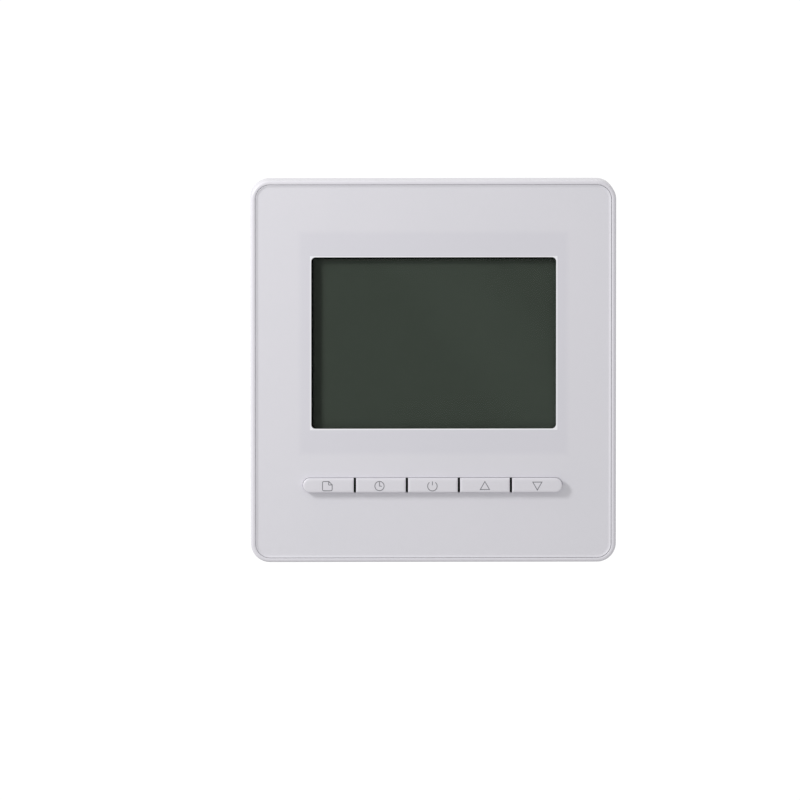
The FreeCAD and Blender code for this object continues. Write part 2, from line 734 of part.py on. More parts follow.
def contact_bars():
    """Bent metal bars that the wires are clamped against, each with a pin to the board."""
    bars = []
    for k in range(POLES):
        x = pole_x(k)
        left = x - BAR_HALF_W
        right = x + BAR_HALF_W
        top = BAR_PIN_Z + 0.4
        bar = box(left, right, *BAR_Y, TERM_Z - 2.0, top)
        bar = bar.fuse(box(left, right, SUPPLY_BACK_Y + 0.1, BAR_Y[1], BAR_PIN_Z - 0.4, top))
        bar = bar.fuse(rod(x, BAR_PIN_Z, 0.5, 5.2, SUPPLY_BACK_Y + 0.2))
        bars.append(bar.removeSplitter())
    return group(bars)


def clamp_cage(index):
    """Square clamp ring that the terminal screw draws towards its head."""
    x = pole_x(index)
    w = CAGE_HALF_W
    body = box(x - w, x + w, *CAGE_Y, TERM_Z - CAGE_HALF_H, TERM_Z + CAGE_HALF_H)
    w = CAGE_HALF_W - 0.7
    body = body.cut(box(x - w, x + w, CAGE_Y[0] + 0.9, CAGE_Y[1] - 1.5, TERM_Z - 3, TERM_Z + 3))
    return body.cut(rod(x, TERM_Z, SHANK_R + 0.05, CAGE_Y[1] - 2, CAGE_Y[1] + 0.5))


def terminal_screw(index):
    """Captive screw with a slotted round head."""
    x = pole_x(index)
    body = rod(x, TERM_Z, SHANK_R, SHANK_Y, HEAD_Y[0])
    head = rod(x, TERM_Z, HEAD_R, *HEAD_Y)
    head = head.makeFillet(0.2, edges_at(head, HEAD_Y[1]))
    slot = box(x - 3, x + 3, HEAD_Y[1] - 0.9, HEAD_Y[1] + 1.2, TERM_Z - 0.3, TERM_Z + 0.3)
    return body.fuse(head).cut(slot).removeSplitter()


def build():
    """All nodes by name."""
    nodes = {
        "front_frame": front_frame(),
        "face_plate": face_plate(),
        "window_lens": window_lens(),
        "front_polariser": polariser(FILM_Y),
        "lcd_cell": centred_slab(CELL_W, CELL_H, WIN_Z, LENS_R, CELL_Y, CELL_BACK_Y),
        "rear_polariser": polariser(CELL_BACK_Y),
        "light_guide": light_guide(),
        "backlight_leds": backlight_leds(),
        "lcd_holder": lcd_holder(),
        "lcd_connector_strip": box(-STRIP_X, STRIP_X, CELL_BACK_Y, BOARD_Y, *STRIP_Z),
        "display_board": display_board(),
        "board_screws": board_screws(),
        "link_header": link_header(),
        "link_pins": link_pins(),
        "switch_housings": switch_housings(),
        "air_sensor": air_sensor(),
        "microcontroller": microcontroller(),
        "clock_battery": clock_battery(),
        "clock_crystal": clock_crystal(),
        "chip_parts": chip_parts(),
        "mounting_plate": mounting_plate(),
        "snap_fingers": snap_fingers(),
        "rear_box": rear_box(),
        "box_screws": box_screws(),
        "supply_board": supply_board(),
        "supply_board_screws": supply_board_screws(),
        "link_socket": link_socket(),
        "transformer_base": transformer_base(),
        "transformer_core": transformer_core(),
        "transformer_winding": transformer_winding(),
        "relay": relay(),
        "smoothing_capacitors": smoothing_capacitors(),
        "suppression_capacitor": suppression_capacitor(),
        "varistor": varistor(),
        "fuse_link": fuse_link(),
        "voltage_regulator": voltage_regulator(),
        "terminal_block": terminal_block(),
        "contact_bars": contact_bars(),
    }
    for k, name in enumerate(KEY_NAMES):
        nodes[name + "_key"] = key(k)
        nodes[name + "_switch_plunger"] = plunger(k)
    for k in range(POLES):
        nodes["clamp_cage_%d" % (k + 1)] = clamp_cage(k)
        nodes["terminal_screw_%d" % (k + 1)] = terminal_screw(k)
    return nodes


os.makedirs("parts", exist_ok=True)
for node_name, node_shape in build().items():
    node_shape.exportStep(os.path.join("parts", node_name + ".step"))
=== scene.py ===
import bpy
import bmesh
import math
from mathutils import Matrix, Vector
from mathutils.geometry import tessellate_polygon


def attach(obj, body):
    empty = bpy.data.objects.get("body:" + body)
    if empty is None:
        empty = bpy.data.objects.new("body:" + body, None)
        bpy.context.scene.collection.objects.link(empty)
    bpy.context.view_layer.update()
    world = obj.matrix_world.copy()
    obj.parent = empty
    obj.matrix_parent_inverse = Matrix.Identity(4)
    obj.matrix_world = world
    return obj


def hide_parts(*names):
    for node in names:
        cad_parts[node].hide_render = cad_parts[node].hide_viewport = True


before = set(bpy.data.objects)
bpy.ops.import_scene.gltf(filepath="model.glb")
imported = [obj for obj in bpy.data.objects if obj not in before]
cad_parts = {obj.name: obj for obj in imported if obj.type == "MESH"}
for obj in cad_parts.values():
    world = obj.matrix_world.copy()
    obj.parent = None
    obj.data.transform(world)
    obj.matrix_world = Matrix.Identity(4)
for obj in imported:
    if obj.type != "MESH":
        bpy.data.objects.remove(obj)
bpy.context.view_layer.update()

# ---------------------------------------------------------------------------
# Case shell: one injection moulding in white ABS, four 2 mm side walls with a narrow rounded
# rim. The front plate drops into a step behind the rim; two hooks inside the top wall hang it
# on the wall plate, and the bottom wall has air slits and two windows for the snap fingers.


class Value:
    """A socket of a node tree. Arithmetic adds Math nodes, and add() makes any other node."""

    def __init__(self, tree, socket):
        self.tree = tree
        self.socket = socket

    def add(self, kind, settings, inputs, out=0):
        """A new node: its type, its settings, then the values or links of its sockets."""
        node = self.tree.nodes.new(kind)
        for name, setting in settings.items():
            setattr(node, name, setting)
        for key, value in inputs.items():
            if isinstance(value, Value):
                self.tree.links.new(value.socket, node.inputs[key])
            else:
                node.inputs[key].default_value = value
        return Value(self.tree, node.outputs[out])

    def maths(self, kind, *operands):
        """One Math node."""
        return self.add("ShaderNodeMath", {"operation": kind}, dict(enumerate(operands)))

    def __add__(self, other):
        return self.maths("ADD", self, other)

    def __radd__(self, other):
        return self.maths("ADD", other, self)

    def __sub__(self, other):
        return self.maths("SUBTRACT", self, other)

    def __rsub__(self, other):
        return self.maths("SUBTRACT", other, self)

    def __mul__(self, other):
        return self.maths("MULTIPLY", self, other)

    def __rmul__(self, other):
        return self.maths("MULTIPLY", other, self)

    def __truediv__(self, other):
        return self.maths("DIVIDE", self, other)

    def __abs__(self):
        return self.maths("ABSOLUTE", self)

    def over(self, other):
        """The larger of the two."""
        return self.maths("MAXIMUM", self, other)

    def under(self, other):
        """The smaller of the two."""
        return self.maths("MINIMUM", self, other)

    def floor(self):
        return self.maths("FLOOR", self)

    def root(self):
        return self.maths("SQRT", self)

    def step(self, low, high):
        """A smooth rise from 0 at low to 1 at high."""
        t = ((self - low) / (high - low)).over(0.0).under(1.0)
        return t * t * (3.0 - t * 2.0)

    def noise(self, scale, detail=2.0):
        """Noise from 0 to 1 at this place, with features of about 1 / scale metres."""
        return self.add("ShaderNodeTexNoise", {}, {"Vector": self, "Scale": scale, "Detail": detail})

    def tint(self, low, high):
        """A colour between two others, by this share."""
        return self.add("ShaderNodeMix", {"data_type": "RGBA"}, {0: self, 6: low, 7: high}, 2)

    def times(self, other):
        """This colour multiplied by another."""
        settings = {"data_type": "RGBA", "blend_type": "MULTIPLY"}
        return self.add("ShaderNodeMix", settings, {0: 1.0, 6: self, 7: other}, 2)

    def feed(self, shader, name):
        """Links this value to a named socket."""
        self.tree.links.new(self.socket, shader.inputs[name])


def srgb(r, g, b):
    """Display values 0 to 255 as a linear colour."""
    out = []
    for v in (r, g, b):
        v = v / 255.0
        out.append(v / 12.92 if v <= 0.04045 else ((v + 0.055) / 1.055) ** 2.4)
    return (*out, 1.0)


def begin(name):
    """A new node material: itself, its Principled node, the object's place and its X, Y and Z."""
    mat = bpy.data.materials.new(name)
    mat.use_nodes = True
    tree = mat.node_tree
    coords = tree.nodes.new("ShaderNodeTexCoord")
    place = Value(tree, coords.outputs["Object"])
    axes = [place.add("ShaderNodeSeparateXYZ", {}, {0: place}, k) for k in range(3)]
    return mat, tree.nodes["Principled BSDF"], place, axes


def relief(shader, height, depth):
    """Bumps on the surface: height from 0 to 1, depth in metres."""
    bump = height.add("ShaderNodeBump", {}, {"Height": height, "Distance": depth, "Strength": 1.0})
    bump.feed(shader, "Normal")


def moulded(name, colour, rough=0.42, grain=2500.0, depth=0.000004, vary=0.04, metal=0.0):
    """Moulded plastic, cast metal or a similar plain surface with a fine grain."""
    mat, shader, place, _ = begin(name)
    dark = tuple(c * (1.0 - vary) for c in colour[:3]) + (1.0,)
    place.noise(60.0).tint(dark, colour).feed(shader, "Base Color")
    fine = place.noise(grain, 3.0)
    (fine * 0.12 + (rough - 0.06)).feed(shader, "Roughness")
    shader.inputs["Metallic"].default_value = metal
    relief(shader, fine, depth)
    return mat


def outline(x0, x1, z0, z1, radii, inset=0.0, n=10):
    """Points anticlockwise, seen from the front, round a rectangle whose corners are rounded.
    radii: lower right, upper right, upper left, lower left."""
    x0 += inset
    x1 -= inset
    z0 += inset
    z1 -= inset
    corners = ((x1, z0, -90.0), (x1, z1, 0.0), (x0, z1, 90.0), (x0, z0, 180.0))
    points = []
    for (cx, cz, start), radius in zip(corners, radii):
        r = max(radius - inset, 0.01)
        ox = cx - r if cx == x1 else cx + r
        oz = cz - r if cz == z1 else cz + r
        points += arc(ox, oz, r, start, start + 90.0, n)
    return points


def arc(cu, cv, r, start, end, n):
    """Points on an arc, angles in degrees."""
    points = []
    for k in range(n + 1):
        a = math.radians(start + (end - start) * k / n)
        points.append((cu + r * math.cos(a), cv + r * math.sin(a)))
    return points


def ring(bm, points, y):
    """One closed row of vertices in a plane of constant Y."""
    return [bm.verts.new((x, y, z)) for x, z in points]


def loft(bm, rings, closed=False):
    """Quads between neighbouring rows."""
    pairs = list(zip(rings, rings[1:]))
    if closed:
        pairs.append((rings[-1], rings[0]))
    for a, b in pairs:
        for i in range(len(a)):
            j = (i + 1) % len(a)
            bm.faces.new((a[i], a[j], b[j], b[i]))


def cover(bm, outer, *holes):
    """A flat face bounded by one row, with other rows as holes in it."""
    loops = [outer, *holes]
    flat = [v for loop in loops for v in loop]
    for tri in tessellate_polygon([[v.co for v in loop] for loop in loops]):
        bm.faces.new([flat[i] for i in tri])


def prism(bm, section, x0, x1):
    """A solid whose Y-Z section runs from x0 to x1."""
    ends = [[bm.verts.new((x, y, z)) for y, z in section] for x in (x0, x1)]
    loft(bm, ends)
    bm.faces.new(ends[0])
    bm.faces.new(ends[1])


def block(bm, x0, x1, y0, y1, z0, z1):
    """A plain closed block."""
    prism(bm, [(y0, z0), (y1, z0), (y1, z1), (y0, z1)], x0, x1)


def finished(obj, smooth):
    """Smooth faces with crisp edges where they meet at more than the given angle."""
    obj.data.polygons.foreach_set("use_smooth", [True] * len(obj.data.polygons))
    obj.data.set_sharp_from_angle(angle=math.radians(smooth))
    return obj


def to_object(name, bm, smooth=30.0):
    """A mesh object from millimetres."""
    bmesh.ops.recalc_face_normals(bm, faces=bm.faces)
    bmesh.ops.scale(bm, vec=(0.001, 0.001, 0.001), verts=bm.verts)
    mesh = bpy.data.meshes.new(name)
    bm.to_mesh(mesh)
    bm.free()
    obj = bpy.data.objects.new(name, mesh)
    bpy.context.scene.collection.objects.link(obj)
    return finished(obj, smooth)


def settle(obj, smooth=30.0):
    """Turns an object with modifiers into a plain mesh."""
    graph = bpy.context.evaluated_depsgraph_get()
    mesh = bpy.data.meshes.new_from_object(obj.evaluated_get(graph))
    obj.modifiers.clear()
    old = obj.data
    obj.data = mesh
    bpy.data.meshes.remove(old)
    return finished(obj, smooth)


def place_piece(obj, mat, body, *nodes):
    """Paints a finished piece, hangs it on its body and lets it stand for its CAD nodes."""
    obj.data.materials.clear()
    obj.data.materials.append(mat)
    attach(obj, body)
    if nodes:
        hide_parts(*nodes)
    return obj


CASE = (-43.0, 43.0, -45.0, 45.0)
CASE_RADIUS = 4.5
CASE_BACK_Y = -0.5
WALL = 2.0
RIM_Y = -13.0
RIM_WIDTH = 1.12
RIM_END_WIDTH = 1.0
RIM_ROUND = 0.6
RIM_INNER_ROUND = 0.3
PLATE_BACK_Y = -10.75
# from the back edge up the outside, over the rim and down the inside: inset, then Y
rim_profile = [(0.25, CASE_BACK_Y), (0.08, -0.56), (0.0, -0.75), (0.0, -1.2), (0.0, -12.25)]
rim_profile += arc(RIM_ROUND, RIM_Y + RIM_ROUND, RIM_ROUND, 180.0, 270.0, 8)
rim_profile += arc(RIM_WIDTH - RIM_INNER_ROUND, RIM_Y + RIM_INNER_ROUND, RIM_INNER_ROUND, 270.0, 360.0, 6)
rim_profile += [(RIM_WIDTH, -12.3), (RIM_WIDTH, PLATE_BACK_Y)]
rim_profile += [(WALL, PLATE_BACK_Y), (WALL, -0.7), (WALL - 0.2, CASE_BACK_Y)]
bm = bmesh.new()
rings = []
for i, y in rim_profile:
    # the rim is narrower along the top and the bottom than down the sides
    end = i * RIM_END_WIDTH / RIM_WIDTH if i <= RIM_WIDTH else i
    bounds = (CASE[0] + i, CASE[1] - i, CASE[2] + end, CASE[3] - end)
    rings.append(ring(bm, outline(*bounds, (CASE_RADIUS - i,) * 4, 0.0, 16), y))
loft(bm, rings, closed=True)
shell = to_object("case_shell", bm)

SLITS = 11
SLIT_PITCH = 3.2
SLIT_HALF = 0.8
SLIT_Y = (-8.5, -3.5)
SNAP_X = 26.0
SNAP_HALF = 4.2
SNAP_Y = (-7.3, -5.2)
BOTTOM_WALL_Z = (-46.0, -42.0)
TOP_BEVEL = [(-1.4, 45.01), (0.1, 45.01), (0.1, 42.37)]
bm = bmesh.new()
for k in range(SLITS):
    mid = (k - (SLITS - 1) / 2.0) * SLIT_PITCH
    slit = outline(mid - SLIT_HALF, mid + SLIT_HALF, *SLIT_Y, (0.5,) * 4, 0.0, 4)
    rows = [[bm.verts.new((x, y, z)) for x, y in slit] for z in BOTTOM_WALL_Z]
    loft(bm, rows)
    cover(bm, rows[0])
    cover(bm, rows[1])
for side in (-1, 1):
    block(bm, side * SNAP_X - SNAP_HALF, side * SNAP_X + SNAP_HALF, *SNAP_Y, *BOTTOM_WALL_Z)
prism(bm, TOP_BEVEL, CASE[0] - 1.0, CASE[1] + 1.0)
cutter = to_object("case_cutter", bm)
cut = shell.modifiers.new("openings", "BOOLEAN")
cut.operation = "DIFFERENCE"
cut.solver = "EXACT"
cut.object = cutter
settle(shell)
bpy.data.objects.remove(cutter)

HOOK_X = 22.0
HOOK_Y = -1.05
HOOK_Z = 42.35
HOOK_RADIUS = 0.6
HOOK_HALF = 5.0
NECK_HALF = 0.45
NECK_TOP_Z = 43.2
# where the neck meets the round bead
NECK_ANGLE = 41.4
hook_section = [(HOOK_Y + NECK_HALF, NECK_TOP_Z)]
hook_section += arc(HOOK_Y, HOOK_Z, HOOK_RADIUS, NECK_ANGLE, -180.0 - NECK_ANGLE, 20)
hook_section += [(HOOK_Y - NECK_HALF, NECK_TOP_Z)]
bm = bmesh.new()
for side in (-1, 1):
    prism(bm, hook_section, side * HOOK_X - HOOK_HALF, side * HOOK_X + HOOK_HALF)
hooks = to_object("case_hooks", bm)

WHITE = srgb(228, 226, 232)
white_case = moulded("white_case", WHITE, rough=0.36, grain=3000.0, depth=0.000002, vary=0.012)
place_piece(shell, white_case, "front_panel", "front_frame")
place_piece(hooks, white_case, "front_panel")

# ---------------------------------------------------------------------------
# Front plate: a 2 mm white moulding with a fine satin grain, set inside the rim. Its edge
# stands up in a thin lip that slopes down to the flat face. The window, with a shallow pocket
# behind it for the clear sheet, and the long round-ended opening for the keys go through it.

PLATE_GAP = 0.05
PLATE = (
    CASE[0] + RIM_WIDTH + PLATE_GAP,
    CASE[1] - RIM_WIDTH - PLATE_GAP,
    CASE[2] + RIM_END_WIDTH + PLATE_GAP,
    CASE[3] - RIM_END_WIDTH - PLATE_GAP,
)
PLATE_RADII = (CASE_RADIUS - RIM_WIDTH - PLATE_GAP,) * 4
FACE_Y = -12.75
POCKET_Y = -12.0
WINDOW = (-28.77, 28.87, -13.53, 26.93)
WINDOW_RADII = (1.0,) * 4
POCKET = (-31.8, 31.8, -19.76, 33.14)
POCKET_RADII = (1.3,) * 4
KEY_ROW = (-30.78, 30.35, -28.5, -25.1)
KEY_GAP = 0.06
OPENING = (KEY_ROW[0] - KEY_GAP, KEY_ROW[1] + KEY_GAP, KEY_ROW[2] - KEY_GAP, KEY_ROW[3] + KEY_GAP)
OPENING_RADII = (1.75,) * 4
WINDOW_EDGE = 0.05
OPENING_EDGE = 0.05
POST_X = 35.5
POST_Z = 38.0
POST_RADIUS = 2.6
POST_BORE = 1.0
POST_END_Y = -5.7
BORE_END_Y = -10.2
# the lip's slope down to the flat face: inset, then height above the face
LIP_SLOPE = [(0.1, 0.195), (0.2, 0.145), (0.32, 0.09), (0.45, 0.04), (0.58, 0.012), (0.72, 0.002)]
LIP_SLOPE += [(0.9, 0.0)]

bm = bmesh.new()
lip_profile = [(0.0, PLATE_BACK_Y), (0.0, -12.6), (0.0, -12.9)] + arc(0.05, -12.9, 0.05, 180.0, 270.0, 3)
lip_profile += [(i, FACE_Y - rise) for i, rise in LIP_SLOPE]
lip = [ring(bm, outline(*PLATE, PLATE_RADII, i, 16), y) for i, y in lip_profile]
loft(bm, lip)


def opening_rings(bm, bounds, radii, soft, n, bottom):
    """Rows from the flat face over a soft edge and down into an opening."""
    profile = [(soft + 0.15, FACE_Y)] + arc(soft, FACE_Y + soft, soft, 270.0, 180.0, 5)
    profile += [(0.0, FACE_Y + soft + 0.1), (0.0, bottom)]
    return [ring(bm, outline(*bounds, radii, -u, n), y) for u, y in profile]


window_rows = opening_rings(bm, WINDOW, WINDOW_RADII, WINDOW_EDGE, 10, POCKET_Y)
window_rows.append(ring(bm, outline(*POCKET, POCKET_RADII, 0.0, 10), POCKET_Y))
window_rows.append(ring(bm, outline(*POCKET, POCKET_RADII, 0.0, 10), PLATE_BACK_Y))
key_rows = opening_rings(bm, OPENING, OPENING_RADII, OPENING_EDGE, 24, PLATE_BACK_Y)
loft(bm, window_rows)
loft(bm, key_rows)
cover(bm, lip[-1], window_rows[0], key_rows[0])
cover(bm, lip[0], window_rows[-1], key_rows[-1])
post_profile = [(POST_RADIUS, PLATE_BACK_Y - 0.05), (POST_RADIUS, POST_END_Y)]
post_profile += [(POST_BORE, POST_END_Y), (POST_BORE, BORE_END_Y)]
for sx in (-1, 1):
    for sz in (-1, 1):
        rows = []
        for r, y in post_profile:
            rows.append(ring(bm, arc(sx * POST_X, sz * POST_Z, r, 0.0, 348.75, 31), y))
        loft(bm, rows)
        cover(bm, rows[0])
        cover(bm, rows[-1])
plate = to_object("front_plate", bm, 35.0)


def past(along, low, high):
    """How far a place in metres lies outside the span from low to high millimetres."""
    return abs(along - (low + high) * 0.0005) - (high - low) * 0.0005


mat, shader, place, (px, py, pz) = begin("white_face")
# the wall is thin over the pocket, and the dark display shows faintly through it
qx = past(px, POCKET[0], POCKET[1])
qz = past(pz, POCKET[2], POCKET[3])
far = (qx.over(0.0) * qx.over(0.0) + qz.over(0.0) * qz.over(0.0)).root() + qx.over(qz).under(0.0)
ghost = 1.0 - far.step(-0.0012, 0.0006)
pale = place.noise(55.0).tint(srgb(225, 224, 230), WHITE)
# a painted highlight: a bright line runs round the window
line = 1.0 - past(px, WINDOW[0], WINDOW[1]).over(past(pz, WINDOW[2], WINDOW[3])).step(0.00026, 0.00034)
pale = line.tint(pale, srgb(252, 252, 255))
shade = ghost.tint((1.0, 1.0, 1.0, 1.0), (0.955, 0.955, 0.965, 1.0))
pale.times(shade).feed(shader, "Base Color")
fine = place.noise(3800.0, 3.0)
(fine * 0.1 + 0.4).feed(shader, "Roughness")
relief(shader, fine, 0.0000025)
place_piece(plate, mat, "front_panel", "face_plate")

# ---------------------------------------------------------------------------
# Display: a clear acrylic sheet glued into the pocket behind the window, then the polariser
# film and the glass cell, dark grey green while it is off, with its guide, lamps and holder.

mat, shader, place, _ = begin("clear_sheet")
shader.inputs["Base Color"].default_value = (0.9, 0.92, 0.92, 1.0)
shader.inputs["Metallic"].default_value = 1.0
shader.inputs["Roughness"].default_value = 0.03
clear = place.add("ShaderNodeBsdfTransparent", {}, {"Color": (0.97, 0.98, 0.975, 1.0)})
coat = place.add("ShaderNodeMixShader", {}, {0: 0.004, 1: clear, 2: Value(mat.node_tree, shader.outputs[0])})
coat.feed(mat.node_tree.nodes["Material Output"], "Surface")
sheet_mat = mat

mat, shader, place, (px, py, pz) = begin("dark_screen")
# a painted reflection: a slightly paler diagonal band crosses the film
REFLECTION_MIDDLE = 0.016
REFLECTION_HALF = 0.012
cloud = place.noise(40.0)
reflection_band = (px * 0.8 + pz * 0.6 - REFLECTION_MIDDLE) / REFLECTION_HALF
glow = (1.0 - reflection_band * reflection_band).over(0.0)
grey = (cloud * 0.25 + glow * 0.35).tint(srgb(62, 68, 61), srgb(71, 77, 70))
# painted shade: a dimmer margin and a black edging along the left and the top of the window stand for the
# shadow that the window's edge casts on the film
painted_shadow = (px * -1.0).step(0.0252, 0.0271) * 0.45
grey = painted_shadow.over(pz.step(0.0249, 0.0258) * 0.18).tint(grey, srgb(0, 0, 0))
painted_edge_shade = (px * -1.0).step(0.0282, 0.02823).over(pz.step(0.02648, 0.02651))
painted_edge_shade.tint(grey, srgb(3, 4, 3)).feed(shader, "Base Color")
(cloud * 0.05 + 0.22).feed(shader, "Roughness")
shader.inputs["Specular IOR Level"].default_value = 0.02
screen_mat = mat


def paint(node, mat):
    """Gives a CAD node its finish."""
    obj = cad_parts[node]
    obj.data.materials.clear()
    obj.data.materials.append(mat)


paint("window_lens", sheet_mat)
paint("front_polariser", screen_mat)
paint("lcd_cell", moulded("cell_glass", srgb(58, 66, 60), 0.12, 800.0, 0.0000005))
paint("rear_polariser", moulded("reflector", srgb(150, 152, 148), 0.3, 900.0, 0.000001))
paint("light_guide", moulded("guide_acrylic", srgb(222, 228, 228), 0.1, 700.0, 0.000001))
paint("backlight_leds", moulded("lamp_resin", srgb(238, 226, 150), 0.3))
paint("lcd_holder", moulded("holder_plastic", srgb(226, 226, 224), 0.5))
paint("lcd_connector_strip", moulded("zebra_rubber", srgb(70, 70, 74), 0.7))

# ---------------------------------------------------------------------------
# Keys: five white caps in one row, the outer two round-ended, each with soft edges, standing
# 1.35 mm out of the plate. A wide foot behind the plate keeps each key in and rests on the
# round plunger of its push switch.

KEY_TOP_Y = -14.1
KEY_SHIFT = -0.15
KEY_PITCH = 12.25
KEY_SLOT = 0.54
KEY_Z = -26.8
KEY_SIDE_RADIUS = 0.12
KEY_END_RADIUS = 1.69
KEY_ROUND = 0.3
KEY_FOOT_Y = (-10.7, -9.7)
KEY_FOOT_Z = (-29.4, -24.2)
KEY_FOOT_END = 0.7
KEYS = ("page", "clock", "power", "up", "down")
key_white = moulded("key_white", srgb(227, 225, 231), rough=0.34, grain=3200.0, depth=0.0000015, vary=0.01)
# the upper edge slopes back a little more than the others, by this much over this inset
KEY_TOP_SLOPE = 0.2
KEY_SLOPE_REACH = 0.22
key_profile = [(0.0, KEY_FOOT_Y[1]), (0.0, -10.2), (0.0, -13.5)]
key_profile += arc(KEY_ROUND, KEY_TOP_Y + 0.33, KEY_ROUND, 180.0, 250.0, 6)
key_profile += [(0.34, KEY_TOP_Y + 0.018), (0.55, KEY_TOP_Y + 0.004), (0.85, KEY_TOP_Y)]
for index, word in enumerate(KEYS):
    mid = (index - 2) * KEY_PITCH + KEY_SHIFT
    x0 = mid - (KEY_PITCH - KEY_SLOT) / 2.0
    x1 = mid + (KEY_PITCH - KEY_SLOT) / 2.0
    left = right = KEY_SIDE_RADIUS
    foot0, foot1 = x0, x1
    if word == KEYS[0]:
        x0 = KEY_ROW[0]
        foot0 = x0 - KEY_FOOT_END
        left = KEY_END_RADIUS
    if word == KEYS[-1]:
        x1 = KEY_ROW[1]
        foot1 = x1 + KEY_FOOT_END
        right = KEY_END_RADIUS
    bm = bmesh.new()
    rows = []
    for i, y in key_profile:
        drop = KEY_TOP_SLOPE * min(i / KEY_SLOPE_REACH, 1.0)
        right_round = max(right - drop / 2.0, 0.05)
        left_round = max(left - drop / 2.0, 0.05)
        radii = (right_round, right_round, left_round, left_round)
        rows.append(ring(bm, outline(x0, x1, KEY_ROW[2], KEY_ROW[3] - drop, radii, i, 20), y))
    loft(bm, rows)
    cover(bm, rows[0])
    cover(bm, rows[-1])
    block(bm, foot0, foot1, *KEY_FOOT_Y, *KEY_FOOT_Z)
    cap = to_object(word + "_cap", bm, 40.0)
    place_piece(cap, key_white, word + "_button", word + "_key")

# ---------------------------------------------------------------------------
# Key symbols: thin grey print on the caps, a page with a folded corner, a clock, the power
# sign and two outlined triangles.

SYMBOL_LINE = 0.18
SYMBOL_Z = -26.92
SYMBOL_PITCH = 12.36
SYMBOL_SHIFT = -0.29
SYMBOL_RADIUS = 1.12
CLOCK_RADIUS = 1.09
CLOCK_X = -0.1
PRINT_HEIGHT = 0.012
grey_ink = moulded("grey_ink", srgb(128, 128, 134), 0.5, 3000.0, 0.000001)


def ribbon(bm, points, width, closed, base, top):
    """A printed line through the points, with mitred corners, between two planes of Y."""
    n = len(points)
    left = []
    right = []
    for i in range(n):
        here = Vector(points[i])
        before = Vector(points[i - 1]) if closed or i else None
        after = Vector(points[(i + 1) % n]) if closed or i < n - 1 else None
        d0 = (here - before).normalized() if before is not None else (after - here).normalized()
        d1 = (after - here).normalized() if after is not None else d0
        side = Vector((-(d0 + d1).y, (d0 + d1).x)).normalized()
        reach = width / 2.0 / max(side.dot(Vector((-d0.y, d0.x))), 0.35)
        left.append(here + side * reach)
        right.append(here - side * reach)
    rows = [[bm.verts.new((p.x, top, p.y)) for p in line] for line in (left, right)]
    rows += [[bm.verts.new((p.x, base, p.y)) for p in line] for line in (right, left)]
    for i in range(n if closed else n - 1):
        j = (i + 1) % n
        for a, b in zip(rows, rows[1:] + rows[:1]):
            bm.faces.new((a[i], a[j], b[j], b[i]))
    if not closed:
        bm.faces.new([row[0] for row in rows])
        bm.faces.new([row[-1] for row in rows])


page_edge = arc(-0.82, -0.76, 0.34, 180.0, 270.0, 4) + arc(0.78, -0.76, 0.34, 270.0, 360.0, 4)
page_edge += [(1.12, 0.3), (0.34, 1.08)] + arc(-0.86, 0.78, 0.3, 90.0, 180.0, 4)
clock_hands = [(CLOCK_X, 0.95), (CLOCK_X, 0.0), (CLOCK_X + 0.55, -0.05)]
power_ring = arc(0.0, -0.05, SYMBOL_RADIUS, 128.0, 412.0, 28)
symbols = {
    "page": [(page_edge, True), ([(0.34, 1.08), (0.26, 0.36), (0.38, 0.24), (1.12, 0.3)], False)],
    "clock": [(arc(CLOCK_X, 0.0, CLOCK_RADIUS, 0.0, 350.0, 35), True), (clock_hands, False)],
    "power": [(power_ring, False), ([(0.0, 1.05), (0.0, 0.15)], False)],
    "up": [([(-1.08, -0.85), (1.08, -0.85), (0.0, 1.03)], True)],
    "down": [([(-1.08, 0.88), (0.0, -0.98), (1.08, 0.88)], True)],
}
for index, word in enumerate(KEYS):
    mid = (index - 2) * SYMBOL_PITCH + SYMBOL_SHIFT
    bm = bmesh.new()
    for points, closed in symbols[word]:
        moved = [(mid + x, SYMBOL_Z + z) for x, z in points]
        ribbon(bm, moved, SYMBOL_LINE, closed, KEY_TOP_Y + 0.02, KEY_TOP_Y - PRINT_HEIGHT)
    mark = to_object(word + "_symbol", bm, 20.0)
    place_piece(mark, grey_ink, word + "_button")

# ---------------------------------------------------------------------------
# Wall side: the plate with its keepers and slots, the deep box with its screws and slits, the
# terminal block, screws and clamps, all moulded or stamped parts with slightly broken edges.


def dressed(node, mat, body, width=0.12, segments=2):
    """A copy of a CAD part with its sharp edges broken."""
    bm = bmesh.new()
    bm.from_mesh(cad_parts[node].data)
    bmesh.ops.remove_doubles(bm, verts=bm.verts, dist=0.000002)
    bmesh.ops.dissolve_limit(
        bm, angle_limit=math.radians(1.0), verts=bm.verts, edges=bm.edges, delimit={"NORMAL"}
    )
    mesh = bpy.data.meshes.new(node + "_finished")
    bm.to_mesh(mesh)
    bm.free()
    obj = bpy.data.objects.new(node + "_finished", mesh)
    bpy.context.scene.collection.objects.link(obj)
    edge = obj.modifiers.new("broken_edges", "BEVEL")
    edge.width = width * 0.001
    edge.segments = segments
    edge.limit_method = "ANGLE"
    edge.angle_limit = math.radians(32.0)
    edge.use_clamp_overlap = True
    edge.miter_outer = "MITER_ARC"
    settle(obj)
    return place_piece(obj, mat, body, node)


